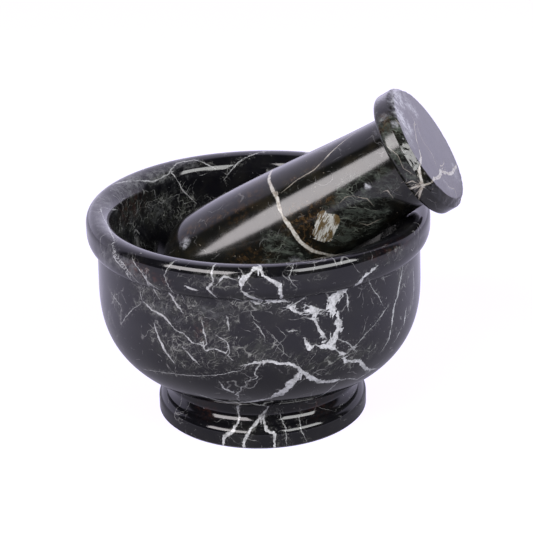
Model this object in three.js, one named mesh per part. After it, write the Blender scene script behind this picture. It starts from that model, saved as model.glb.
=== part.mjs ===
// A hand-sized mortar and pestle, each turned from one block of polished black marble.
// Millimetres, +Z up. The origin is the centre of the flat underside of the mortar's foot.
// The pestle rests in the bowl and leans along +X, with its axis in the XZ plane.
import * as THREE from "three";

// ---- Driving dimensions -----------------------------------------------------------------

// Mortar: outside
const rimRadius = 50;
const mortarHeight = 63.8;
const collarHeight = 10;
const collarOverhang = 2.9;
const collarUndersideRise = 4.4;
const lipOuterRound = { width: 2.3, height: 3.2 };
const bellyRadius = 47.3;
const bellyTop = 41.4;
const bellyDepth = 32.7;
const bellyFullness = 2.52;
const waistRadius = 26.9;
const coveRadius = 4;
const coveStartAngle = -122;
const footRadius = 31.2;
const footHeight = 6.5;
const footShoulder = { width: 2.3, height: 2.6 };
const footBottomChamfer = 0.7;

// Mortar: inside
const mouthRadius = 41.9;
const lipInnerRound = { width: 5, height: 5.5 };
const bowlFloor = 24.4;
const bowlFullness = 2.1;

// Pestle, measured along its own axis from the knob's flat face
const pestleLength = 90;
const knobRadius = 18.9;
const knobThickness = 6.4;
const knobBevel = 1.1;
const knobBackRound = 1.3;
const neckRadius = 13.6;
const neckFillet = 0.8;
const headRadius = 18.3;
const headDome = 17;

// Where the pestle rests: its tilt above the horizontal and the centre of its knob's face
const pestleTilt = THREE.MathUtils.degToRad(33.5);
const knobFaceCentre = new THREE.Vector3(49.7, 0, 84.1);

// Facets round each turned piece
const mortarFacets = 64;
const pestleFacets = 44;

// ---- Outlines, as (radius, height) points ------------------------------------------------

// A stretch of an ellipse; angles are in degrees, 0 pointing outwards and 90 upwards.
function ellipseArc(centre, halfWidth, halfHeight, fromAngle, toAngle, steps) {
  const points = [];
  for (let i = 0; i <= steps; i += 1) {
    const angle = THREE.MathUtils.degToRad(fromAngle + ((toAngle - fromAngle) * i) / steps);
    points.push(new THREE.Vector2(
      centre.x + halfWidth * Math.cos(angle),
      centre.y + halfHeight * Math.sin(angle),
    ));
  }
  return points;
}

// The lower quarter of a superellipse round the axis, from its pole up to its widest point.
// fullness 2 is an ellipse; more is squarer and less is more pointed.
function bowlCurve(widest, depth, topHeight, fullness, fromAngle, toAngle, steps) {
  const points = [];
  for (let i = 0; i <= steps; i += 1) {
    const angle = THREE.MathUtils.degToRad(fromAngle + ((toAngle - fromAngle) * i) / steps);
    points.push(new THREE.Vector2(
      widest * Math.sin(angle) ** (2 / fullness),
      topHeight - depth * Math.cos(angle) ** (2 / fullness),
    ));
  }
  return points;
}

// Disc foot with a chamfered bottom edge, a round shoulder and a cove up to the waist.
function footOutline() {
  const shoulderCentre = new THREE.Vector2(
    footRadius - footShoulder.width,
    footHeight - footShoulder.height,
  );
  const coveRise = -coveRadius * Math.sin(THREE.MathUtils.degToRad(coveStartAngle));
  const coveCentre = new THREE.Vector2(waistRadius + coveRadius, footHeight + coveRise);
  return [
    new THREE.Vector2(0, 0),
    new THREE.Vector2(footRadius - footBottomChamfer, 0),
    new THREE.Vector2(footRadius, footBottomChamfer),
    ...ellipseArc(shoulderCentre, footShoulder.width, footShoulder.height, 0, 90, 3),
    ...ellipseArc(coveCentre, coveRadius, coveRadius, coveStartAngle, -180, 4),
  ];
}

// Belly of the bowl: it springs out from the waist and rises nearly upright to the collar.
function bellyOutline() {
  const springAngle = 29.5;
  return [
    ...bowlCurve(bellyRadius, bellyDepth, bellyTop, bellyFullness, springAngle, 90, 12),
    new THREE.Vector2(rimRadius - collarOverhang, mortarHeight - collarHeight),
  ];
}

// Collar: a round bead under the rim, with the crowned lip on top.
function collarOutline() {
  const beadCentre = new THREE.Vector2(
    rimRadius - collarOverhang,
    mortarHeight - collarHeight + collarUndersideRise,
  );
  const outerCentre = new THREE.Vector2(rimRadius - lipOuterRound.width, mortarHeight - lipOuterRound.height);
  const innerCentre = new THREE.Vector2(mouthRadius + lipInnerRound.width, mortarHeight - lipInnerRound.height);
  return [
    ...ellipseArc(beadCentre, collarOverhang, collarUndersideRise, -75, 0, 4),
    ...ellipseArc(outerCentre, lipOuterRound.width, lipOuterRound.height, 0, 90, 4),
    ...ellipseArc(innerCentre, lipInnerRound.width, lipInnerRound.height, 90, 180, 5),
  ];
}

// Inside of the bowl, from the lip's inner round down to the middle of the floor.
function hollowOutline() {
  const wallTop = mortarHeight - lipInnerRound.height;
  const curve = bowlCurve(mouthRadius, wallTop - bowlFloor, wallTop, bowlFullness, 90, 0, 14);
  return curve.slice(1);
}

// Pestle: domed grinding head, shaft tapering to the neck, flat round knob.
// Heights run along its axis, with the knob's face at 0 and the head below it.
function pestleOutline() {
  const domeCentre = new THREE.Vector2(0, headDome - pestleLength);
  const shaft = new THREE.CubicBezierCurve(
    new THREE.Vector2(headRadius, domeCentre.y),
    new THREE.Vector2(headRadius, domeCentre.y + 22),
    new THREE.Vector2(neckRadius + 0.6, -knobThickness - neckFillet - 18),
    new THREE.Vector2(neckRadius, -knobThickness - neckFillet),
  );
  return [
    ...ellipseArc(domeCentre, headRadius, headDome, -90, 0, 9),
    ...shaft.getPoints(8).slice(1),
    new THREE.Vector2(neckRadius + neckFillet, -knobThickness),
    new THREE.Vector2(knobRadius - knobBackRound, -knobThickness),
    new THREE.Vector2(knobRadius, -knobThickness + knobBackRound),
    new THREE.Vector2(knobRadius, -knobBevel),
    new THREE.Vector2(knobRadius - knobBevel, 0),
    new THREE.Vector2(0, 0),
  ];
}

// ---- Pieces ----------------------------------------------------------------------------

// Turns an outline round the Z axis.
function turned(name, outline, facets, material) {
  const geometry = new THREE.LatheGeometry(outline, facets);
  geometry.rotateX(Math.PI / 2);
  const mesh = new THREE.Mesh(geometry, material);
  mesh.name = name;
  return mesh;
}

function makeMortar() {
  const marble = new THREE.MeshStandardMaterial({ color: 0x2b2a2e, roughness: 0.12, metalness: 0 });
  const outline = [...footOutline(), ...bellyOutline(), ...collarOutline(), ...hollowOutline()];
  return turned("mortar", outline, mortarFacets, marble);
}

function makePestle() {
  const marble = new THREE.MeshStandardMaterial({ color: 0x2d2b26, roughness: 0.15, metalness: 0 });
  const pestle = turned("pestle", pestleOutline(), pestleFacets, marble);
  pestle.position.copy(knobFaceCentre);
  pestle.rotation.y = Math.PI / 2 - pestleTilt;
  return pestle;
}

const group = new THREE.Group();
group.add(makeMortar(), makePestle());

export default group;
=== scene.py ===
"""Looks of a polished black marble mortar and pestle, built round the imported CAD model.

Sizes are millimetres, as in the CAD source, until a mesh, light or camera is made in metres.
Each piece is turned again with fine rings. Its veins are stored on the mesh as distances, which
the marble material turns into ragged calcite. The main veins and patches in front were picked by
eye on the photo, and a scratch script turned them into angles and heights. Many stand as it
printed them, rounded, and others were moved later. Those behind are mirrored or invented.
"""
import math

import bpy
import numpy as np
from mathutils import Matrix, Vector, noise
from mathutils.kdtree import KDTree


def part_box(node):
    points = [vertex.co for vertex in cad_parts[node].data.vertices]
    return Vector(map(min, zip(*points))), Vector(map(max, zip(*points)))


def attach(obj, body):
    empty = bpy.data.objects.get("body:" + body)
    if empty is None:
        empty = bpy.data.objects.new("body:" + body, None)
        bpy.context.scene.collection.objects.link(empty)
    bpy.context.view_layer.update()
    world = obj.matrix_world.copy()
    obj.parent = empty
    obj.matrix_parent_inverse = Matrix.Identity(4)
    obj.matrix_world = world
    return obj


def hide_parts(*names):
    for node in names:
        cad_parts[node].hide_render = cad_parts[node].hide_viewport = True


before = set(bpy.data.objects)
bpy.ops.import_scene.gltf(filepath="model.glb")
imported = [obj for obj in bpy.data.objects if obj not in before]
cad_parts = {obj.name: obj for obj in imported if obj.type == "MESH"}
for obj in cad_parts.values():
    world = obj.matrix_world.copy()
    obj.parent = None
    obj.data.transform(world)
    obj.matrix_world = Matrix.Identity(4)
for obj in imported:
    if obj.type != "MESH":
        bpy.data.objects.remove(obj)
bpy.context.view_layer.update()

MM = 0.001

# ---- Driving dimensions, as in the CAD source -------------------------------------------

# Mortar
_, mortar_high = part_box("mortar")
rim_radius = mortar_high.x / MM
mortar_height = mortar_high.z / MM
collar_height = 10
collar_overhang = 2.9
collar_underside_rise = 4.4
bead_start_angle = -75
lip_outer_round = (2.3, 3.2)
belly_radius = 47.3
belly_top = 41.4
belly_depth = 32.7
belly_fullness = 2.52
belly_spring_angle = 29.5
waist_radius = 26.9
cove_radius = 4
cove_start_angle = -122
foot_radius = 31.2
foot_height = 6.5
foot_shoulder = (2.3, 2.6)
foot_bottom_chamfer = 0.7
mouth_radius = 41.9
lip_inner_round = (5, 5.5)
bowl_floor = 24.4
bowl_fullness = 2.1

# Pestle, along its own axis from the knob's face
pestle_length = 90
knob_radius = 18.9
knob_thickness = 6.4
knob_bevel = 1.1
knob_back_round = 1.3
neck_radius = 13.6
neck_fillet = 0.8
head_radius = 18.3
head_dome = 17
shaft_head_handle = 22
shaft_neck_handle = 18
shaft_neck_flare = 0.6
pestle_tilt = math.radians(33.5)
knob_face_centre = Vector((49.7, 0, 84.1))

# Mesh fineness
ring_spacing = 0.75
underside_spacing = 1.5
chamfer_spacing = 0.25
knob_edge_spacing = 0.28
knob_edge_reach = 3
merge_distance = 0.02
arc_steps = 7
mortar_segments = 360
pestle_segments = 300
sharp_angle = math.radians(32)

# ---- Outlines, as (radius, height) points ------------------------------------------------


def ellipse_arc(centre, half_width, half_height, start, end):
    """A stretch of an ellipse; 0 degrees points outwards and 90 upwards."""
    length = math.radians(abs(end - start)) * (half_width + half_height) / 2
    steps = max(arc_steps, math.ceil(length / ring_spacing))
    angle = np.radians(np.linspace(start, end, steps + 1))
    radius = centre[0] + half_width * np.cos(angle)
    height = centre[1] + half_height * np.sin(angle)
    return np.stack([radius, height], 1)


def bowl_curve(widest, depth, top, fullness, start, end):
    """The lower quarter of a superellipse round the axis; 2 is an ellipse and more is squarer."""
    steps = math.ceil(math.radians(abs(end - start)) * (widest + depth) / 2 / ring_spacing)
    angle = np.radians(np.linspace(start, end, steps + 1))
    power = 2 / fullness
    return np.stack([widest * np.sin(angle) ** power, top - depth * np.cos(angle) ** power], 1)


def straight(start, end, spacing=ring_spacing):
    """Evenly spaced points from start to end."""
    steps = max(1, math.ceil(math.dist(start, end) / spacing))
    share = np.linspace(0, 1, steps + 1)[:, None]
    return np.array(start) * (1 - share) + np.array(end) * share


def bezier(points, spacing=ring_spacing):
    """A cubic curve through its first and last points."""
    steps = math.ceil(math.dist(points[0], points[3]) / spacing)
    t = np.linspace(0, 1, steps + 1)[:, None]
    p = np.array(points, float)
    return (1 - t) ** 3 * p[0] + 3 * t * (1 - t) ** 2 * p[1] + 3 * t * t * (1 - t) * p[2] + t ** 3 * p[3]


def joined(*stretches):
    """One outline from stretches that meet; points closer than a hair are merged."""
    points = np.concatenate(stretches)
    kept = [points[0]]
    for point in points[1:]:
        if np.hypot(*(point - kept[-1])) > merge_distance:
            kept.append(point)
    return np.array(kept)


def mortar_outline():
    """Underside, foot, cove, belly, collar, lip and bowl, ending in the middle of the bowl's floor."""
    chamfer_start = (foot_radius - foot_bottom_chamfer, 0)
    chamfer_end = (foot_radius, foot_bottom_chamfer)
    shoulder = (foot_radius - foot_shoulder[0], foot_height - foot_shoulder[1])
    cove_rise = -cove_radius * math.sin(math.radians(cove_start_angle))
    cove = (waist_radius + cove_radius, foot_height + cove_rise)
    collar_bottom = (rim_radius - collar_overhang, mortar_height - collar_height)
    bead = (collar_bottom[0], collar_bottom[1] + collar_underside_rise)
    lip_outer = (rim_radius - lip_outer_round[0], mortar_height - lip_outer_round[1])
    lip_inner = (mouth_radius + lip_inner_round[0], mortar_height - lip_inner_round[1])
    belly = bowl_curve(belly_radius, belly_depth, belly_top, belly_fullness, belly_spring_angle, 90)
    return joined(
        straight((0, 0), chamfer_start, underside_spacing),
        straight(chamfer_start, chamfer_end, chamfer_spacing),
        straight(chamfer_end, (foot_radius, shoulder[1])),
        ellipse_arc(shoulder, *foot_shoulder, 0, 90),
        ellipse_arc(cove, cove_radius, cove_radius, cove_start_angle, -180),
        straight((waist_radius, cove[1]), belly[0]),
        belly,
        straight(belly[-1], collar_bottom),
        ellipse_arc(bead, collar_overhang, collar_underside_rise, bead_start_angle, 0),
        straight((rim_radius, bead[1]), (rim_radius, lip_outer[1])),
        ellipse_arc(lip_outer, *lip_outer_round, 0, 90),
        ellipse_arc(lip_inner, *lip_inner_round, 90, 180),
        bowl_curve(mouth_radius, lip_inner[1] - bowl_floor, lip_inner[1], bowl_fullness, 90, 0),
    )


def pestle_outline():
    """Domed head, shaft, neck and knob, ending in the middle of the knob's face at height 0."""
    dome_top = head_dome - pestle_length
    neck_end = -knob_thickness - neck_fillet
    shaft = [
        (head_radius, dome_top),
        (head_radius, dome_top + shaft_head_handle),
        (neck_radius + shaft_neck_flare, neck_end - shaft_neck_handle),
        (neck_radius, neck_end),
    ]
    back_round = (knob_radius - knob_back_round, knob_back_round - knob_thickness)
    fillet = (neck_radius + neck_fillet, neck_end)
    corner = (knob_radius, 0)
    face_edge = (knob_radius - knob_edge_reach, 0)
    return joined(
        ellipse_arc((0, dome_top), head_radius, head_dome, -90, 0),
        bezier(shaft),
        ellipse_arc(fillet, neck_fillet, neck_fillet, 180, 90),
        straight((neck_radius + neck_fillet, -knob_thickness), (back_round[0], -knob_thickness)),
        ellipse_arc(back_round, knob_back_round, knob_back_round, -90, 0),
        straight((knob_radius, back_round[1]), corner, knob_edge_spacing),
        straight(corner, face_edge, knob_edge_spacing),
        straight(face_edge, (0, 0)),
    )


# ---- Turned surfaces ---------------------------------------------------------------------


class Turned:
    """A surface turned round the Z axis. Places on it are (angle in degrees, height).

    Heights run up the outside to the crown, the outline's highest ring; a height past the
    crown carries on inwards from it, that many millimetres along the outline.
    """

    def __init__(self, outline, segments):
        self.outline = outline
        self.segments = segments
        step = np.hypot(*np.diff(outline, axis=0).T)
        self.along = np.concatenate([[0], np.cumsum(step)])
        self.crown = int(np.argmax(np.round(outline[:, 1], 3)))
        self.outer_heights = np.maximum.accumulate(outline[:self.crown + 1, 1])

    def along_at(self, height):
        """How far along the outline a height is."""
        past_crown = np.maximum(height - self.outer_heights[-1], 0)
        return np.interp(height, self.outer_heights, self.along[:self.crown + 1]) + past_crown

    def point(self, angle, along):
        """The point in space and the outward direction at an angle and a length along the outline."""
        radius = np.interp(along, self.along, self.outline[:, 0])
        height = np.interp(along, self.along, self.outline[:, 1])
        slope = np.gradient(self.outline, axis=0)
        slope_radius = np.interp(along, self.along, slope[:, 0])
        slope_height = np.interp(along, self.along, slope[:, 1])
        turn = np.radians(angle)
        point = np.stack([radius * np.cos(turn), radius * np.sin(turn), height], -1)
        outward = np.stack([slope_height * np.cos(turn), slope_height * np.sin(turn), -slope_radius], -1)
        return point, outward / np.linalg.norm(outward, axis=-1, keepdims=True)

    def vertices(self):
        """One ring for each outline point but the two poles, which come last."""
        turn = np.linspace(0, 2 * math.pi, self.segments, endpoint=False)
        rings = self.outline[1:-1]
        radius = rings[:, :1]
        height = np.broadcast_to(rings[:, 1:], (len(rings), self.segments))
        grid = np.stack([radius * np.cos(turn), radius * np.sin(turn), height], -1)
        poles = [(0, 0, self.outline[0, 1]), (0, 0, self.outline[-1, 1])]
        return np.concatenate([grid.reshape(-1, 3), poles])

    def faces(self):
        """Quads between rings and triangles to the poles, facing outwards."""
        rings = len(self.outline) - 2
        count = self.segments
        faces = []
        for ring in range(rings - 1):
            low = ring * count
            for i in range(count):
                j = (i + 1) % count
                faces.append((low + i, low + j, low + count + j, low + count + i))
        first_pole = rings * count
        last_ring = (rings - 1) * count
        for i in range(count):
            j = (i + 1) % count
            faces.append((first_pole, j, i))
            faces.append((first_pole + 1, last_ring + i, last_ring + j))
        return faces


# Slow waves of hand turning: (share, lobes round the axis, phase, twist per millimetre of height)
wear_depth = 0.15
wear_waves = [(1.0, 2, 0.6, 0.0), (0.6, 3, 0.0, 0.05), (0.4, 7, 0.0, -0.08)]


def wear_hand_turned(points):
    """Takes up to wear_depth off the rim in slow waves, and in proportion off smaller radii."""
    angle = np.arctan2(points[:, 1], points[:, 0])
    wave = np.zeros(len(points))
    for share, lobes, phase, twist in wear_waves:
        wave += share * np.sin(lobes * angle + phase + twist * points[:, 2])
    crest = sum(share for share, *_ in wear_waves)
    shrink = 1 - wear_depth * (crest + wave) / (2 * crest) / rim_radius
    return points * np.stack([shrink, shrink, np.ones_like(shrink)], 1)


# The knob's bevel: its extra width and how that swings round the face, and its chips as
# (waves per millimetre, reach)
bevel_extra = 0.45
bevel_swing = 0.45
bevel_widest_at = math.radians(-75)
bevel_chips = [(0.6, 0.18), (1.6, 0.09)]


def chip_knob_edge(points):
    """Cuts the bevel round the knob's face, narrow on one side and wide on the other, and ragged."""
    radius = np.hypot(points[:, 0], points[:, 1])
    angle = np.arctan2(points[:, 1], points[:, 0])
    bevel = knob_bevel + bevel_extra + bevel_swing * np.cos(angle - bevel_widest_at)
    near_edge = np.where(radius + points[:, 2] > knob_radius - knob_edge_reach)[0]
    for i in near_edge:
        ragged = sum(noise.noise(Vector(points[i]) * waves) * reach for waves, reach in bevel_chips)
        excess = radius[i] + points[i, 2] - (knob_radius - max(knob_bevel, bevel[i] + ragged))
        if excess > 0:
            points[i, :2] *= (radius[i] - excess / 2) / radius[i]
            points[i, 2] -= excess / 2
    return points


# ---- Veins and patches -------------------------------------------------------------------

# A vein is (half-width at its start, half-width at its end, [(angle, height), ...]). Angles are
# in degrees from +X, and a mortar's heights are above its underside, as Turned explains.
front_veins = [
    # The thick forked vein on the right
    (0.35, 0.9, [(-37, 59), (-43, 57), (-46, 54)]),
    (1.0, 1.7, [(-46, 54), (-50, 52.5), (-52.8, 50.5), (-53, 47.5)]),
    (1.6, 1.4, [(-50.8, 46.5), (-50.5, 43), (-51.3, 40.5), (-53.5, 38.8)]),
    (0.45, 0.25, [(-47, 52), (-46.5, 47.5)]),
    # From the lip down across the front
    (0.65, 0.5, [(-77, 64.5), (-76, 62), (-74.5, 61), (-71, 59), (-70.5, 56.5), (-70.5, 54)]),
    (0.4, 0.75, [(-70.5, 54), (-68, 52), (-66, 50), (-64, 49)]),
    (0.75, 0.4, [(-64, 49), (-61, 49.5), (-56, 47.5)]),
    (0.5, 0.3, [(-62, 51), (-58, 49.5), (-55, 48.5)]),
    (0.3, 0.45, [(-62, 47.5), (-59, 46.8), (-57.5, 43.5), (-55, 40.5)]),
    (0.6, 0.7, [(-62.5, 41), (-61, 38), (-59, 39)]),
    (0.7, 0.7, [(-59, 39), (-57, 38.3), (-54, 38), (-51, 36)]),
    (0.6, 0.6, [(-51, 36), (-48, 33.5), (-47, 31.5), (-41, 30), (-37, 26.5), (-34, 25), (-27, 23)]),
    (0.3, 0.2, [(-50, 39), (-46, 37), (-43, 34)]),
    # The long vein below, and its branch to the foot
    (0.35, 0.7, [(-84, 34), (-80, 35), (-74, 35.5), (-66, 33.5), (-63, 31)]),
    (0.9, 0.5, [(-63, 31), (-60, 28.5), (-56, 26), (-52, 25.5), (-47, 25)]),
    (0.25, 0.2, [(-47, 25), (-42, 24), (-37, 22), (-30, 24)]),
    (1.1, 1.8, [(-64, 31), (-66, 28), (-68, 25.5)]),
    (1.7, 0.8, [(-68, 25.5), (-70, 23.5), (-74, 21.5)]),
    (0.6, 0.3, [(-74, 21.5), (-84, 19), (-92, 18), (-104, 21)]),
    (0.22, 0.25, [(-48, 24), (-52, 19), (-57, 15)]),
    # Right side
    (0.35, 0.45, [(-17, 55), (-20, 50), (-22, 46), (-25, 42), (-26, 37)]),
    (0.4, 0.2, [(-26, 37), (-27, 33), (-30, 30)]),
    (0.45, 0.3, [(-16, 39), (-17, 34.5)]),
    (0.25, 0.3, [(-19, 34), (-22, 31)]),
    (0.2, 0.3, [(-9, 50), (-8, 44), (-10, 39)]),
    (0.16, 0.16, [(-49, 33), (-40, 38), (-32, 42), (-28, 44)]),
    (0.14, 0.14, [(-40, 56), (-36, 51), (-33, 48), (-31, 45)]),
    (0.2, 0.14, [(-70, 50), (-63, 53), (-58, 55)]),
    (0.4, 0.3, [(-67.5, 44), (-65.5, 44)]),
    # Left side
    (0.2, 0.17, [(-115, 60), (-115, 56), (-115, 53), (-113, 51)]),
    (0.2, 0.31, [(-122, 52), (-121, 49), (-116, 47), (-111, 46), (-107, 43)]),
    (0.27, 0.31, [
        (-107, 43), (-104, 42.5), (-101, 40), (-97, 39.8), (-96, 38), (-93, 39), (-89, 38), (-87, 36),
    ]),
    (0.34, 0.41, [(-115.5, 43), (-114, 39), (-112, 36), (-109, 32.5)]),
    (0.24, 0.34, [(-104, 38), (-99, 33.5)]),
    (0.27, 0.2, [(-97, 47.5), (-96, 43.5), (-95, 39)]),
    (0.31, 0.2, [(-88, 48.5), (-87.5, 45)]),
    (0.17, 0.34, [(-121, 62), (-116, 58), (-110, 54), (-104, 48.5)]),
    (0.24, 0.17, [(-134, 64), (-130, 60), (-125, 58), (-122, 54), (-120, 52)]),
    (0.17, 0.14, [(-131, 62), (-126, 60), (-121, 57), (-118, 53)]),
    (0.17, 0.14, [(-140, 46), (-133, 44), (-134, 38)]),
    (0.14, 0.12, [(-134, 38), (-126, 45), (-121, 48)]),
    (0.14, 0.12, [(-128, 25), (-120, 26.5), (-110, 28), (-94, 30), (-83, 33)]),
    (0.14, 0.12, [(-79, 47), (-76, 43), (-76, 41)]),
    # On and under the collar
    (0.85, 0.6, [(-77, 64), (-80, 62.5), (-82.5, 61), (-83, 58)]),
    (0.4, 0.55, [(-83, 58), (-80.5, 56), (-75, 53.5), (-68, 52.5)]),
    (0.3, 0.3, [(-86, 55), (-80, 53.5), (-76, 52)]),
    (0.35, 0.3, [(-91, 65), (-92, 62), (-91.5, 60), (-93.5, 58), (-91, 55)]),
    (0.25, 0.3, [(-90.5, 59), (-88, 61.8), (-85, 61)]),
    (1.0, 0.4, [(-100, 57.4), (-97, 57)]),
    (0.15, 0.15, [(-92, 43), (-88, 41), (-87, 37)]),
    (0.18, 0.15, [(-104, 65), (-108, 60), (-106, 55), (-103, 52)]),
    (0.18, 0.15, [(-66, 64), (-68, 61), (-66, 58)]),
    # Down to the foot and over it
    (0.28, 0.2, [(-77, 35), (-79, 33), (-79.5, 31.5), (-78.5, 30), (-83, 28.5)]),
    (0.2, 0.25, [
        (-83, 28.5), (-82.5, 27), (-85, 26.5), (-84.5, 25), (-86.5, 24), (-86, 22), (-87.5, 21), (-86, 19),
    ]),
    (0.3, 0.3, [(-92, 28), (-91, 25.5), (-86, 22.5)]),
    (0.5, 0.55, [(-91, 14), (-93, 11), (-92, 8), (-94, 5.5), (-99, 3), (-100, -1)]),
    (0.4, 0.75, [(-70, 14), (-74, 11), (-80, 8), (-84, 6), (-88, 2), (-89, -1)]),
    (0.45, 0.65, [(-76, 10), (-77, 8), (-75.5, 6), (-71, 5), (-71, 3), (-75, -1)]),
    (0.16, 0.16, [(-67, 10), (-65, 6), (-65, 1)]),
    (0.16, 0.12, [(-54, 9), (-57, 5), (-54, 1)]),
]

# Across the top of the lip and down the far inner wall
lip_veins = [
    (0.22, 0.2, [(-128, 61), (-136, 64.5), (-150, 67), (-168, 66)]),
    (0.18, 0.2, [(-168, 66), (-172, 69), (-178, 71)]),
    (0.25, 0.2, [(168, 64), (160, 67), (150, 70), (142, 69)]),
    (0.22, 0.2, [(142, 69), (136, 66), (128, 66), (121, 70)]),
    (0.2, 0.15, [(117, 74), (111, 69), (101, 65), (92, 63)]),
    (0.18, 0.2, [(141, 68), (137, 74), (131, 80)]),
]

# The side that the camera sees, and where the middle of its mirror image comes behind
front_angle = -77
reverse_angle = 84
reverse_stretch = 1.15


def mirrored_behind(veins):
    """The same veins on the far side of the mortar, mirrored and a little stretched round it."""
    mirrored = []
    for start_width, end_width, path in veins:
        moved = [(reverse_angle - reverse_stretch * (angle - front_angle), height) for angle, height in path]
        mirrored.append((start_width, end_width, moved))
    return mirrored


mortar_veins = front_veins + lip_veins + mirrored_behind(front_veins)

# A patch is (angle, height, half-width, half-height, strength).
mortar_breccia = [
    (-114, 51, 12, 7, 1.0), (-98, 48, 12, 7, 1.1), (-84, 38, 12, 6, 1.0), (-104, 38, 13, 8, 1.1),
    (-60, 35, 9, 5, 0.8), (-42, 32, 10, 5, 0.8), (-54, 32, 10, 5, 0.8), (-80, 53, 9, 4, 0.8),
    (-90, 60, 14, 3, 0.8), (-60, 60, 10, 3, 0.4), (-16, 50, 8, 7, 0.7), (-10, 38, 8, 8, 0.5),
    (-30, 60, 10, 4, 0.6), (60, 46, 22, 10, 0.9), (100, 36, 20, 9, 0.9), (140, 50, 16, 8, 0.8),
    (20, 34, 16, 8, 0.7), (-150, 34, 14, 9, 0.7), (170, 42, 12, 10, 0.7),
]
bowl_breccia = [
    (172, 76, 17, 11, 0.6), (-168, 78, 16, 10, 0.6), (152, 78, 13, 9, 0.6), (-140, 84, 16, 10, 0.5),
    (40, 86, 20, 12, 0.6), (-60, 92, 18, 10, 0.5),
]
mortar_stains = [
    (-119, 59.5, 6, 2, 1.0), (-111, 58, 5, 1.5, 0.5), (-114, 9, 4, 3, 0.5), (-42, 9.5, 7, 3, 0.6),
    (-97, 44, 2, 4, 0.6), (170, 74, 10, 4, 0.5), (-30, 62, 9, 2, 0.4), (75, 58, 8, 3, 0.6),
]

mortar_haze = [
    (-176, 66, 9, 5, 0.8), (163, 67, 12, 4, 1.0), (148, 68, 8, 4, 0.9), (-150, 66, 14, 4, 0.7),
    (-124, 59, 10, 4, 0.8), (132, 67, 6, 4, 0.7), (-112, 47, 8, 4, 0.5), (-92, 50, 9, 4, 0.6),
    (-136, 58, 8, 6, 0.7), (-22, 60, 8, 3, 0.5), (30, 64, 12, 5, 0.6), (60, 40, 16, 8, 0.5),
    (170, 78, 14, 9, 0.4), (150, 80, 11, 8, 0.4), (-165, 80, 12, 8, 0.35), (40, 86, 16, 9, 0.4),
]

# On the pestle, height is minus the distance from the knob's face; above 0 is on the face.
pestle_veins = [
    # The long vein across the shaft
    (0.35, 0.65, [(-210, -44), (-179, -43.5), (-160, -43.5), (-133, -42), (-116, -42.5)]),
    (0.65, 0.5, [(-116, -42.5), (-99, -42), (-83, -42), (-68, -41), (-54, -39), (-30, -36)]),
    (0.15, 0.3, [(-178, -14), (-174, -16), (-158, -23), (-150, -26)]),
    (0.2, 0.12, [(-150, -26), (-144, -29), (-142, -35), (-137, -40)]),
    # On the knob's face
    (0.2, 0.25, [(-191, 9), (-187, 11.4), (-140, 11.7), (-108, 9.3)]),
    (0.22, 0.7, [(-108, 9.3), (-100, 7.8), (-94, 6.3), (-90, 1.5)]),
    (0.7, 0.3, [(-90, 1.5), (-86, -0.3), (-82, -1), (-75, -2.5), (-64, -6)]),
    (0.12, 0.15, [(-195, 12.4), (-140, 15.1), (-90, 16.5), (-45, 15.9), (-45, 11.5)]),
    (0.45, 0.7, [(-71, 1.5), (-66, 4.4), (-45, 8.4), (-32, 10.8), (-4, 9.6)]),
    (0.65, 0.45, [(-14, 10.6), (10, 8.2), (34, 5.4), (47, 1.8)]),
    (0.25, 0.15, [(-22, 11), (-17, 12.4), (34, 10.9)]),
    (0.12, 0.15, [(-39, 8.2), (-29, 5.7), (-11, 4.7), (-20, 1.8)]),
    # Round the knob's side
    (0.3, 0.35, [(-80, -8), (-78, -6), (-77, -4), (-75, -3), (-73, -1), (-69, 1.7)]),
    (0.25, 0.2, [(-84, -6), (-83, -4), (-78, -3)]),
    (0.1, 0.15, [(-59, -9), (-74, -3)]),
    (0.1, 0.1, [(-122, -5.5), (-108, -3.5), (-96, -4), (-86, -2.5)]),
    (0.35, 0.2, [(-138, 1), (-134, 1.8), (-131, 2.6)]),
    # Short white cracks in the green cloud, and a few behind
    (0.2, 0.25, [(-82, -14.5), (-81, -13), (-71, -13)]),
    (0.15, 0.12, [(-92, -21), (-85, -19), (-76, -19)]),
    (0.12, 0.12, [(-97, -26), (-99, -24), (-96, -22)]),
    (0.15, 0.2, [(-63, -25), (-55, -24), (-53, -21), (-51, -20)]),
    (0.4, 0.3, [(100, -60), (84, -48), (96, -36), (70, -26), (40, -22)]),
    (0.5, 0.3, [(20, -70), (10, -52), (34, -40), (18, -28)]),
    (0.3, 0.4, [(120, -30), (128, -22), (110, -12), (118, -7)]),
]
pestle_breccia = [
    (-88, -20, 9, 9, 1.0), (-74, -28, 8, 9, 1.0), (-95, -14, 7, 6, 0.9), (-82, -48, 9, 6, 1.0),
    (-124, -3, 8, 5, 1.0), (-98, -3, 7, 4, 0.8), (-56, -24, 7, 6, 0.9), (30, -30, 16, 14, 0.9),
    (90, -52, 14, 12, 0.8), (-30, -60, 12, 12, 0.7), (-62, -46, 8, 5, 0.8),
]
pestle_stains = [
    (-102, -37.5, 5, 6, 1.0), (-84, -40.5, 8, 1.6, 1.0), (-150, -70, 2.2, 6, 0.7), (-146, -62, 2, 7, 0.7),
    (-138, -55, 3, 3, 0.7), (-90, -58, 6, 6, 0.5), (-146, -33, 1.0, 6, 0.7), (-140, -4, 3, 3, 0.7),
    (-108, -29, 3, 3, 0.7), (60, -50, 10, 9, 0.7), (-160, -50, 6, 8, 0.4),
]
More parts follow.
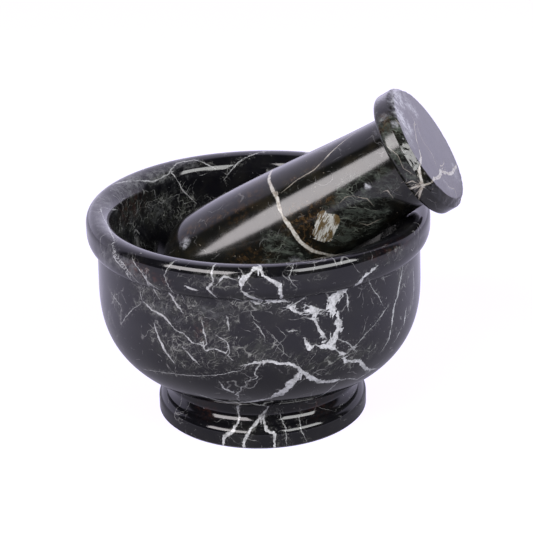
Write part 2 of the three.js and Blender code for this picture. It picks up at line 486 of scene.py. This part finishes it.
pestle_haze = [
    (-178, 3, 6, 4, 1.0), (-150, 4, 5, 4, 1.0), (-142, 8, 4, 3, 0.8), (155, 6, 6, 5, 0.7),
    (-120, 5, 4, 3, 0.6), (30, 5, 6, 3, 0.5), (-30, 6, 5, 3, 0.4), (-134, 0.5, 1.6, 1.0, 1.0),
    (-139, -73, 2.6, 2.2, 0.8), (-97, -17, 1.4, 1.0, 1.0), (-64, -47, 5, 2.5, 0.5),
]
# A pale fragment has one more number: its turn from upright, in degrees, towards larger angles.
pestle_pale = [
    (-82, -33.5, 3.3, 4.5, 1.0, 145), (40, -42, 6, 5, 0.8, 60),
]


# A vein is sampled this often, and narrows over the taper to a share of its width at the tip
vein_sampling = 0.3
vein_taper = 1.5
vein_tip = 0.45


def vein_fields(surface, points, veins):
    """For each point: signed and plain distance to the nearest vein, and that vein's half-width."""
    places, outwards, headings, widths = [], [], [], []
    for start_width, end_width, path in veins:
        angles, heights = np.array(path, float).T
        alongs = surface.along_at(heights)
        corners, _ = surface.point(angles, alongs)
        run = np.concatenate([[0], np.cumsum(np.linalg.norm(np.diff(corners, axis=0), axis=1))])
        fine = np.linspace(0, run[-1], max(3, int(run[-1] / vein_sampling)))
        place, outward = surface.point(np.interp(fine, run, angles), np.interp(fine, run, alongs))
        share = fine / run[-1]
        taper = np.clip(np.minimum(fine, run[-1] - fine) / vein_taper, vein_tip, 1)
        places.append(place)
        outwards.append(outward)
        headings.append(np.gradient(place, axis=0))
        widths.append((start_width * (1 - share) + end_width * share) * taper)
    places = np.concatenate(places)
    across = np.cross(np.concatenate(outwards), np.concatenate(headings))
    across /= np.linalg.norm(across, axis=1, keepdims=True)
    tree = KDTree(len(places))
    for i, place in enumerate(places):
        tree.insert(place, i)
    tree.balance()
    found = [tree.find(point)[1:] for point in points]
    nearest = np.array([index for index, _ in found])
    near = np.array([distance for _, distance in found])
    offset = np.einsum("ij,ij->i", points - places[nearest], across[nearest])
    return np.copysign(near, offset), near, np.concatenate(widths)[nearest]


# A patch ends here, as a share of its half-sizes. Squareness 2 makes an ellipse, and more a block
patch_end = 1.35
block_squareness = 6


def block_field(surface, points, blocks, squareness=block_squareness):
    """How far inside the nearest block each point is, from 0 outside to the block's strength."""
    field = np.zeros(len(points))
    for angle, height, half_across, half_up, strength, turn in blocks:
        centre, outward = surface.point(angle, surface.along_at(height))
        around = np.array([-math.sin(math.radians(angle)), math.cos(math.radians(angle)), 0])
        upwards = np.cross(outward, around)
        turn_cos, turn_sin = math.cos(math.radians(turn)), math.sin(math.radians(turn))
        own_up = turn_cos * upwards + turn_sin * around
        own_across = turn_cos * around - turn_sin * upwards
        offset = points - centre
        reach = (
            np.abs(offset @ own_across / half_across) ** squareness
            + np.abs(offset @ own_up / half_up) ** squareness
            + np.abs(offset @ outward / (half_across + half_up)) ** squareness
        ) ** (1 / squareness)
        field = np.maximum(field, strength * np.clip(patch_end - reach, 0, 1))
    return field


def patch_field(surface, points, patches):
    """As block_field, for upright elliptical patches."""
    upright = [(*patch, 0) for patch in patches]
    return block_field(surface, points, upright, squareness=2)


def marks(surface, points, veins, breccia, stains, haze):
    """The attributes that every marble reads, with a value for each point."""
    side, near, width = vein_fields(surface, points, veins)
    return {
        "vein_side": side,
        "vein_near": near,
        "vein_width": width,
        "breccia": patch_field(surface, points, breccia),
        "stain": patch_field(surface, points, stains),
        "haze": patch_field(surface, points, haze),
    }


def piece_from(surface, name, points, fields, to_model, material):
    """The mesh object of a turned surface, with its fields as attributes, in metres."""
    mesh = bpy.data.meshes.new(name)
    placed = points @ np.array(to_model.to_3x3()).T + np.array(to_model.translation)
    mesh.from_pydata((placed * MM).tolist(), [], surface.faces())
    for field, values in fields.items():
        attribute = mesh.attributes.new(field, "FLOAT", "POINT")
        attribute.data.foreach_set("value", values.astype(np.float32))
    mesh.polygons.foreach_set("use_smooth", [True] * len(mesh.polygons))
    mesh.set_sharp_from_angle(angle=sharp_angle)
    mesh.materials.append(material)
    piece = bpy.data.objects.new(name, mesh)
    bpy.context.scene.collection.objects.link(piece)
    return piece


# ---- Materials ---------------------------------------------------------------------------


class Graph:
    """Short calls for the nodes of one material or world."""

    def __init__(self, owner):
        owner.use_nodes = True
        self.nodes = owner.node_tree.nodes
        self.links = owner.node_tree.links

    def feed(self, socket, value):
        """Links a socket, or sets a plain value."""
        if isinstance(value, bpy.types.NodeSocket):
            self.links.new(value, socket)
        else:
            socket.default_value = value

    def node(self, kind, inputs, **settings):
        made = self.nodes.new(kind)
        for key, value in settings.items():
            setattr(made, key, value)
        for key, value in inputs.items():
            self.feed(made.inputs[key], value)
        return made

    def math(self, operation, a, b=0.0, c=0.0):
        return self.node("ShaderNodeMath", {0: a, 1: b, 2: c}, operation=operation).outputs[0]

    def product(self, *values):
        result = values[0]
        for value in values[1:]:
            result = self.math("MULTIPLY", result, value)
        return result

    def highest(self, a, b):
        return self.math("MAXIMUM", a, b)

    def centred(self, value):
        """A noise from 0 to 1, shifted to run from -0.5 to 0.5."""
        return self.math("SUBTRACT", value, 0.5)

    def scaled(self, vector, factor):
        return self.node("ShaderNodeVectorMath", {0: vector, 3: factor}, operation="SCALE").outputs[0]

    def shifted(self, vector, offset):
        return self.node("ShaderNodeVectorMath", {0: vector, 1: offset}, operation="ADD").outputs[0]

    def attribute(self, name):
        return self.node("ShaderNodeAttribute", {}, attribute_name=name).outputs["Fac"]

    def fade(self, value, start, end, low=0.0, high=1.0):
        """low at start and before, high at end and after, and smooth between."""
        inputs = {0: value, 1: start, 2: end, 3: low, 4: high}
        return self.node("ShaderNodeMapRange", inputs, interpolation_type="SMOOTHSTEP").outputs[0]

    def ramp(self, value, start, end, low, high):
        """As fade, but straight between."""
        inputs = {0: value, 1: start, 2: end, 3: low, 4: high}
        return self.node("ShaderNodeMapRange", inputs).outputs[0]

    def noise(self, where, size, detail=4.0, roughness=0.55):
        """Noise from 0 to 1 whose blobs are about size millimetres across."""
        inputs = {"Vector": where, "Scale": 1 / size, "Detail": detail, "Roughness": roughness}
        return self.node("ShaderNodeTexNoise", inputs, normalize=True).outputs[0]

    def warped(self, where, size, reach):
        """where, pushed about by up to reach millimetres in swirls of that size."""
        inputs = {"Vector": where, "Scale": 1 / size, "Detail": 3.0}
        swirl = self.node("ShaderNodeTexNoise", inputs).outputs[1]
        push = self.scaled(self.shifted(swirl, (-0.5, -0.5, -0.5)), reach * 2)
        return self.shifted(where, push)

    def cracks(self, where, size, half_width):
        """1 along the edges of cells of that size, 0 away from them."""
        inputs = {"Vector": where, "Scale": 1 / size, "Randomness": 1.0}
        edge = self.node("ShaderNodeTexVoronoi", inputs, feature="DISTANCE_TO_EDGE").outputs[0]
        distance = self.math("MULTIPLY", edge, size)
        return self.fade(distance, half_width * 0.5, half_width * 1.6, 1.0, 0.0)

    def filaments(self, where, size, thickness, detail=2.5):
        """1 on thin winding lines through swirls of that size; thickness is in the noise's units."""
        level = self.noise(where, size, detail, roughness=0.5)
        off_line = self.math("ABSOLUTE", self.centred(level))
        return self.fade(off_line, thickness * 0.3, thickness, 1.0, 0.0)

    def streaked(self, where, turn, stretch):
        """where, turned by Euler angles and drawn out along its own X, so that patterns become streaks."""
        turned = self.node("ShaderNodeMapping", {"Vector": where, "Rotation": turn}).outputs[0]
        inputs = {"Vector": turned, "Scale": (1 / stretch, 1, 1)}
        return self.node("ShaderNodeMapping", inputs).outputs[0]

    def mix(self, amount, low, high):
        inputs = {0: amount, 6: low, 7: high}
        return self.node("ShaderNodeMix", inputs, data_type="RGBA").outputs[2]


def calcite_mask(graph, where, ragged):
    """1 on the placed veins: their centre lines sway and their edges are ragged."""
    slow = graph.centred(graph.noise(where, size=5.5, detail=2.0))
    quick = graph.centred(graph.noise(where, size=1.1, detail=3.0, roughness=0.65))
    sway = graph.math("ADD", graph.product(slow, 1.1 * ragged), graph.product(quick, 0.9 * ragged))
    offset = graph.math("ABSOLUTE", graph.math("ADD", graph.attribute("vein_side"), sway))
    lumps = graph.noise(graph.shifted(where, (40, 0, 0)), size=3.2, detail=4.0, roughness=0.7)
    uneven = graph.fade(lumps, 0.34, 0.66, 1 - 0.6 * ragged, 1 + 0.35 * ragged)
    width = graph.attribute("vein_width")
    inside = graph.math("SUBTRACT", graph.product(width, uneven), offset)
    core = graph.fade(inside, -0.10, 0.16)
    reach = graph.math("SUBTRACT", graph.attribute("vein_near"), width)
    return graph.product(core, graph.fade(reach, 0.35, 0.8, 1.0, 0.0))


def breccia_mask(graph, where):
    """1 inside the brecciated patches, with a torn outline."""
    torn = graph.centred(graph.noise(where, size=6.0, detail=5.0, roughness=0.65))
    return graph.fade(graph.math("ADD", graph.attribute("breccia"), torn), 0.28, 0.75)


def clouded_ground(graph, bent, drawn, breccia, tones):
    """Black ground, clouded, and greener and cloudier where it is brecciated."""
    clouds = graph.fade(graph.noise(bent, size=9.0, detail=6.0, roughness=0.65), 0.44, 0.70)
    base = graph.mix(clouds, tones["dark"], tones["dark_mottle"])
    smears = graph.fade(graph.noise(drawn, size=2.4, detail=6.0, roughness=0.72), 0.42, 0.66)
    return graph.mix(graph.product(breccia, smears), base, tones["breccia_ground"])


def lace_mask(graph, where, drawn, breccia, tones):
    """A lace of fine lines inside the breccia."""
    wide_lace = graph.filaments(drawn, size=6.5, thickness=0.011, detail=3.5)
    fine_lace = graph.filaments(graph.shifted(drawn, (31, 7, 0)), size=3.0, thickness=0.018, detail=3.0)
    wide_cells = graph.cracks(graph.warped(where, 4.0, 2.2), size=5.5, half_width=0.10)
    fine_cells = graph.cracks(graph.warped(drawn, 2.0, 1.2), size=2.2, half_width=0.07)
    gaps = graph.noise(graph.shifted(where, (0, 60, 0)), size=4.0, detail=4.0, roughness=0.7)
    broken = graph.fade(gaps, 0.42, 0.58)
    scuffs = graph.noise(graph.shifted(drawn, (0, 20, 50)), size=3.0, detail=4.0, roughness=0.7)
    worn_off = graph.fade(scuffs, 0.45, 0.60)
    lines = graph.highest(graph.product(wide_lace, broken), graph.product(wide_cells, worn_off, 0.7))
    threads = graph.highest(graph.product(fine_lace, worn_off, 0.45), graph.product(fine_cells, broken, 0.3))
    dimming = graph.noise(graph.shifted(where, (70, 0, 10)), size=2.2, detail=3.0, roughness=0.6)
    uneven = graph.fade(dimming, 0.3, 0.65, 0.25, 1.0)
    within = graph.fade(breccia, 0.1, 0.7)
    return graph.product(graph.highest(lines, threads), within, uneven, tones["lace_strength"])


def hairline_mask(graph, where, bent, tones):
    """Sparse broken hairlines over the whole stone."""
    long_hairs = graph.filaments(bent, size=24.0, thickness=0.0045)
    straight_hairs = graph.cracks(graph.warped(where, 9.0, 5.0), size=17.0, half_width=0.08)
    gaps = graph.noise(graph.shifted(where, (0, 0, 90)), size=6.0, detail=4.0, roughness=0.65)
    broken = graph.fade(gaps, 0.47, 0.60)
    return graph.product(graph.highest(long_hairs, straight_hairs), broken, tones["hair_strength"])


def haze_mask(graph, bent, drawn):
    """Pale grey haze, where thin calcite lies just under the polish."""
    patchy = graph.centred(graph.noise(bent, size=3.5, detail=6.0, roughness=0.7))
    haze = graph.math("MULTIPLY_ADD", patchy, 2.0, graph.attribute("haze"))
    smears = graph.fade(graph.noise(drawn, size=1.6, detail=5.0, roughness=0.75), 0.34, 0.62)
    return graph.product(graph.fade(haze, 0.25, 1.1), smears)


def stain_mask(graph, where):
    """Rusty specks and smears inside the stained patches."""
    specks = graph.noise(graph.warped(where, 2.0, 1.4), size=1.6, detail=5.0, roughness=0.75)
    return graph.product(graph.attribute("stain"), graph.fade(specks, 0.45, 0.68))


def pale_fragments(graph, where, tones):
    """The mask of the pale angular fragments, and their colour, streaked with ochre."""
    cells = {"Vector": graph.warped(where, 3.0, 0.8), "Scale": 1 / 1.8}
    chosen = graph.node("ShaderNodeTexVoronoi", cells, feature="F1").outputs["Color"]
    chosen = graph.node("ShaderNodeSeparateColor", {0: chosen}).outputs[0]
    pale = graph.math("MULTIPLY_ADD", graph.centred(chosen), 0.22, graph.attribute("pale"))
    mask = graph.product(graph.fade(pale, 0.36, 0.42), 0.9)
    along_block = graph.streaked(where, turn=(0, -0.97, 0), stretch=6.0)
    ochre = graph.fade(graph.noise(along_block, size=0.75, detail=4.0, roughness=0.7), 0.43, 0.53)
    return mask, graph.mix(ochre, tones["pale"], tones["pale_dark"])


def halo_mask(graph, where, tones):
    """Specks of calcite close to the placed veins."""
    close = graph.fade(graph.attribute("vein_near"), 0.3, 2.2, 0.5, 0.0)
    specks = graph.noise(graph.warped(where, 2.0, 1.0), size=0.8, detail=4.0, roughness=0.75)
    return graph.product(close, graph.fade(specks, 0.52, 0.66), tones["halo_strength"])


def vein_colour(graph, where, tones):
    """Bright where a vein is wide and dull where it is thin."""
    strength = graph.fade(graph.attribute("vein_width"), 0.1, 0.6, 0.25, 1.0)
    cloudy = graph.fade(graph.noise(where, size=1.3, detail=5.0, roughness=0.75), 0.36, 0.60)
    return graph.mix(graph.product(cloudy, strength), tones["vein_dull"], tones["vein"])


def fleck_mask(graph, where):
    """Rare round flecks."""
    spots = graph.noise(graph.shifted(where, (15, 25, 35)), size=0.8, detail=2.0, roughness=0.5)
    return graph.product(graph.fade(spots, 0.735, 0.76), 0.6)


def relief(graph, where, calcite, grain, grain_height):
    """Height in millimetres: a slow ripple, pits in the softer calcite, and grain."""
    ripple = graph.noise(where, size=12.0, detail=2.0)
    holes = graph.noise(where, size=0.7, detail=3.0, roughness=0.7)
    pits = graph.math("SUBTRACT", 1.0, graph.product(calcite, holes))
    height = graph.math("ADD", graph.product(ripple, 0.05), graph.product(pits, 0.012))
    return graph.math("ADD", height, graph.product(grain, grain_height))


def marble(name, place, tones, gloss):
    """Polished breccia marble, patterned in a piece's own frame, which place puts in the model.

    tones holds linear colours and other settings, with "pale" only where there are pale fragments.
    gloss is the range of roughness.
    """
    material = bpy.data.materials.new(name)
    graph = Graph(material)
    shader = graph.nodes["Principled BSDF"]
    coordinates = graph.node("ShaderNodeTexCoord", {}).outputs["Object"]
    own = {
        "Vector": graph.scaled(coordinates, 1 / MM),
        "Location": place.translation,
        "Rotation": place.to_euler(),
    }
    where = graph.node("ShaderNodeMapping", own, vector_type="TEXTURE").outputs[0]
    bent = graph.warped(where, size=7.0, reach=2.4)
    drawn = graph.streaked(graph.warped(where, size=5.0, reach=1.6), tones["streak_turn"], stretch=2.6)
    upright = graph.streaked(where, (0, math.pi / 2, 0), tones["grain_stretch"])
    grain = graph.noise(upright, size=0.5, detail=4.0, roughness=0.7)
    breccia = breccia_mask(graph, where)
    calcite = calcite_mask(graph, where, tones["ragged"])

    colour = clouded_ground(graph, bent, drawn, breccia, tones)
    colour = graph.mix(lace_mask(graph, where, drawn, breccia, tones), colour, tones["lace"])
    colour = graph.mix(hairline_mask(graph, where, bent, tones), colour, tones["hair"])
    colour = graph.mix(haze_mask(graph, bent, drawn), colour, tones["haze"])
    colour = graph.mix(stain_mask(graph, where), colour, tones["stain"])
    if "pale" in tones:
        fragments, fragment_colour = pale_fragments(graph, where, tones)
        colour = graph.mix(fragments, colour, fragment_colour)
    colour = graph.mix(halo_mask(graph, where, tones), colour, tones["lace"])
    colour = graph.mix(graph.product(calcite, 0.95), colour, vein_colour(graph, where, tones))
    colour = graph.mix(fleck_mask(graph, where), colour, tones["vein_dull"])
    colour = graph.scaled(colour, graph.fade(grain, 0.25, 0.75, 0.82, 1.18))
    graph.feed(shader.inputs["Base Color"], colour)

    wear = graph.noise(where, size=3.0, detail=6.0, roughness=0.7)
    polish = graph.fade(wear, 0.3, 0.75, gloss[0], gloss[1])
    graph.feed(shader.inputs["Roughness"], graph.math("MULTIPLY_ADD", calcite, 0.10, polish))
    graph.feed(shader.inputs["IOR"], 1.46)

    height = relief(graph, where, calcite, grain, tones["grain_height"])
    bump = graph.node("ShaderNodeBump", {"Height": height, "Distance": MM, "Strength": 1.0})
    graph.feed(shader.inputs["Normal"], bump.outputs[0])
    return material


mortar_tones = {
    "dark": (0.0032, 0.0032, 0.0042, 1),
    "dark_mottle": (0.0065, 0.0065, 0.0065, 1),
    "breccia_ground": (0.014, 0.0155, 0.0125, 1),
    "lace": (0.165, 0.170, 0.158, 1),
    "hair": (0.14, 0.142, 0.14, 1),
    "hair_strength": 0.8,
    "haze": (0.085, 0.088, 0.090, 1),
    "stain": (0.050, 0.018, 0.012, 1),
    "vein": (0.44, 0.45, 0.46, 1),
    "vein_dull": (0.20, 0.205, 0.205, 1),
    "ragged": 1.0,
    "lace_strength": 1.0,
    "halo_strength": 1.0,
    "streak_turn": (0, 0.7, -0.23),
    "grain_height": 0.0004,
    "grain_stretch": 1.0,
}
pestle_tones = {
    **mortar_tones,
    "dark": (0.0036, 0.0038, 0.0032, 1),
    "dark_mottle": (0.011, 0.0095, 0.0058, 1),
    "breccia_ground": (0.036, 0.043, 0.036, 1),
    "lace": (0.115, 0.13, 0.11, 1),
    "lace_strength": 0.75,
    "hair_strength": 0.35,
    "haze": (0.30, 0.31, 0.33, 1),
    "halo_strength": 0.5,
    "stain": (0.060, 0.034, 0.013, 1),
    "pale": (0.33, 0.34, 0.32, 1),
    "pale_dark": (0.075, 0.052, 0.022, 1),
    "vein": (0.38, 0.375, 0.35, 1),
    "vein_dull": (0.17, 0.15, 0.12, 1),
    "ragged": 0.3,
    "grain_height": 0.0016,
    "grain_stretch": 4.0,
}


# ---- Pieces ------------------------------------------------------------------------------

mortar_gloss = (0.05, 0.12)
pestle_gloss = (0.11, 0.17)


def make_mortar():
    surface = Turned(mortar_outline(), mortar_segments)
    points = surface.vertices()
    breccia = mortar_breccia + bowl_breccia
    fields = marks(surface, points, mortar_veins, breccia, mortar_stains, mortar_haze)
    place = Matrix.Identity(4)
    material = marble("mortar_marble", place, mortar_tones, mortar_gloss)
    piece = piece_from(surface, "mortar_stone", wear_hand_turned(points), fields, place, material)
    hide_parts("mortar")
    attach(piece, "mortar")


def make_pestle():
    surface = Turned(pestle_outline(), pestle_segments)
    points = surface.vertices()
    fields = marks(surface, points, pestle_veins, pestle_breccia, pestle_stains, pestle_haze)
    fields["pale"] = block_field(surface, points, pestle_pale)
    lean = Matrix.Rotation(math.pi / 2 - pestle_tilt, 4, "Y")
    place = Matrix.Translation(knob_face_centre) @ lean
    material = marble("pestle_marble", place, pestle_tones, pestle_gloss)
    piece = piece_from(surface, "pestle_stone", chip_knob_edge(points), fields, place, material)
    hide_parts("pestle")
    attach(piece, "pestle")


# ---- Studio ------------------------------------------------------------------------------

camera_angle = front_angle
backdrop_angle = camera_angle + 180
lavender = (0.81, 0.77, 1.0, 1)
floor_lavender = (0.77, 0.73, 1.0, 1)
white = (1, 1, 1)
warm_white = (1.0, 0.95, 0.97)


def direction(angle, elevation=0):
    """Unit vector from the object towards an angle round it and an elevation, in degrees."""
    turn, rise = math.radians(angle), math.radians(elevation)
    return Vector((math.cos(turn) * math.cos(rise), math.sin(turn) * math.cos(rise), math.sin(rise)))


def make_camera():
    """A long lens above the rim. Elevation, distance, lens and small turns are a fit to the photo."""
    elevation = 23.595
    distance = 0.56022
    target = Vector((0, 0, 0.030))
    roll, yaw, pitch = math.radians(-1.444), math.radians(0.215), math.radians(1.333)
    position = target + direction(camera_angle, elevation) * distance
    forward = (target - position).normalized()
    right = direction(camera_angle + 90)
    up = right.cross(forward)
    aim = (forward + math.tan(yaw) * right + math.tan(pitch) * up).normalized()
    level_right = aim.cross(Vector((0, 0, 1))).normalized()
    level_up = level_right.cross(aim)
    rolled_right = math.cos(roll) * level_right + math.sin(roll) * level_up
    rolled_up = math.cos(roll) * level_up - math.sin(roll) * level_right
    data = bpy.data.cameras.new("camera")
    data.sensor_width = 36
    data.lens = 127.56
    data.clip_start = 0.01
    camera = bpy.data.objects.new("camera", data)
    rotation = Matrix((rolled_right, rolled_up, -aim)).transposed().to_4x4()
    camera.matrix_world = Matrix.Translation(position) @ rotation
    bpy.context.scene.collection.objects.link(camera)
    bpy.context.scene.camera = camera


def make_light(name, angle, elevation, size, radiance, colour):
    """A rectangular studio light facing the bowl, unseen by the camera. size is width and height."""
    distance = 1.2
    target = Vector((0, 0, 0.05))
    data = bpy.data.lights.new(name, "AREA")
    data.shape = "RECTANGLE"
    data.size, data.size_y = size
    data.energy = radiance * size[0] * size[1] * math.pi
    data.color = colour
    light = bpy.data.objects.new(name, data)
    towards = direction(angle, elevation)
    light.location = target + towards * distance
    light.rotation_mode = "QUATERNION"
    light.rotation_quaternion = towards.to_track_quat("Z", "Y")
    light.visible_camera = False
    bpy.context.scene.collection.objects.link(light)


def make_softboxes():
    """One softbox on each side of the camera, each with a brighter core."""
    left, left_rise = camera_angle - 42, 33
    right, right_rise = camera_angle + 46, 34
    make_light("softbox_left", left, left_rise, (0.90, 0.56), 10.8, warm_white)
    make_light("softbox_left_core", left, left_rise, (0.45, 0.22), 13, warm_white)
    make_light("softbox_right", right, right_rise, (0.84, 0.52), 10, white)
    make_light("softbox_right_core", right, right_rise, (0.42, 0.20), 12, white)


def make_world():
    """A dim room with a bright lavender backdrop behind the object. The camera sees near-white."""
    dim, bright, white_seen = 0.02, 1.75, 1.1
    world = bpy.data.worlds.new("studio")
    bpy.context.scene.world = world
    graph = Graph(world)
    generated = graph.node("ShaderNodeTexCoord", {}).outputs["Generated"]
    looking = graph.node("ShaderNodeVectorMath", {0: generated}, operation="NORMALIZE").outputs[0]
    level = {0: looking, 1: (1, 1, 0)}
    level = graph.node("ShaderNodeVectorMath", level, operation="MULTIPLY").outputs[0]
    level = graph.node("ShaderNodeVectorMath", {0: level}, operation="NORMALIZE").outputs[0]
    towards = {0: level, 1: direction(backdrop_angle)}
    facing = graph.node("ShaderNodeVectorMath", towards, operation="DOT_PRODUCT").outputs["Value"]
    rise = graph.node("ShaderNodeSeparateXYZ", {0: looking}).outputs[2]
    sideways = graph.fade(facing, 0.14, 0.32)
    middle = graph.ramp(facing, 0.3, 0.95, 0.62, 1.0)
    upwards = graph.fade(rise, 0.97, 0.82)
    climb = graph.fade(rise, 0.15, 0.5, 1.0, 0.8)
    amount = graph.product(sideways, upwards, climb, middle)
    strength = graph.ramp(amount, 0.0, 1.0, dim, bright)
    lit = graph.node("ShaderNodeBackground", {"Color": lavender, "Strength": strength}).outputs[0]
    plain = graph.node("ShaderNodeBackground", {"Strength": white_seen}).outputs[0]
    seen = graph.node("ShaderNodeLightPath", {}).outputs["Is Camera Ray"]
    shader = graph.node("ShaderNodeMixShader", {0: seen, 1: lit, 2: plain}).outputs[0]
    graph.feed(graph.nodes["World Output"].inputs[0], shader)


def disc_mesh(name, radius, rings, segments):
    """A flat disc whose rings get wider outwards."""
    vertices = [(0, 0, 0)]
    for ring in range(1, rings + 1):
        reach = radius * (ring / rings) ** 3
        for i in range(segments):
            turn = 2 * math.pi * i / segments
            vertices.append((reach * math.cos(turn), reach * math.sin(turn), 0))
    faces = []
    for i in range(segments):
        j = (i + 1) % segments
        faces.append((0, 1 + i, 1 + j))
        for ring in range(rings - 1):
            low, high = 1 + ring * segments, 1 + (ring + 1) * segments
            faces.append((low + i, high + i, high + j, low + j))
    mesh = bpy.data.meshes.new(name)
    mesh.from_pydata(vertices, [], faces)
    return mesh


def floor_white():
    """Pale floor, lit from within. Near the foot it is dimmer in reflections, as if in shadow."""
    material = bpy.data.materials.new("floor_white")
    graph = Graph(material)
    shader = graph.nodes["Principled BSDF"]
    where = graph.node("ShaderNodeTexCoord", {}).outputs["Object"]
    tint = graph.fade(graph.noise(graph.scaled(where, 1 / MM), size=400.0, detail=2.0), 0.2, 0.8)
    graph.feed(shader.inputs["Base Color"], graph.mix(tint, (0.15, 0.15, 0.15, 1), (0.16, 0.16, 0.16, 1)))
    graph.feed(shader.inputs["Roughness"], 0.9)
    graph.feed(shader.inputs["Specular IOR Level"], 0.0)
    graph.feed(shader.inputs["Emission Color"], floor_lavender)
    reach = graph.node("ShaderNodeVectorMath", {0: where}, operation="LENGTH").outputs["Value"]
    reflected = graph.fade(reach, 0.045, 0.13, 0.26, 0.68)
    seen = graph.node("ShaderNodeLightPath", {}).outputs["Is Camera Ray"]
    graph.feed(shader.inputs["Emission Strength"], graph.fade(seen, 0.0, 1.0, reflected, 1.15))
    return material


def make_floor():
    """A wide pale disc under the foot."""
    mesh = disc_mesh("floor", radius=1.5, rings=24, segments=96)
    mesh.materials.append(floor_white())
    floor = bpy.data.objects.new("floor", mesh)
    bpy.context.scene.collection.objects.link(floor)


make_camera()
make_mortar()
make_pestle()
make_world()
make_floor()
make_softboxes()
bpy.context.scene.view_settings.view_transform = "Standard"
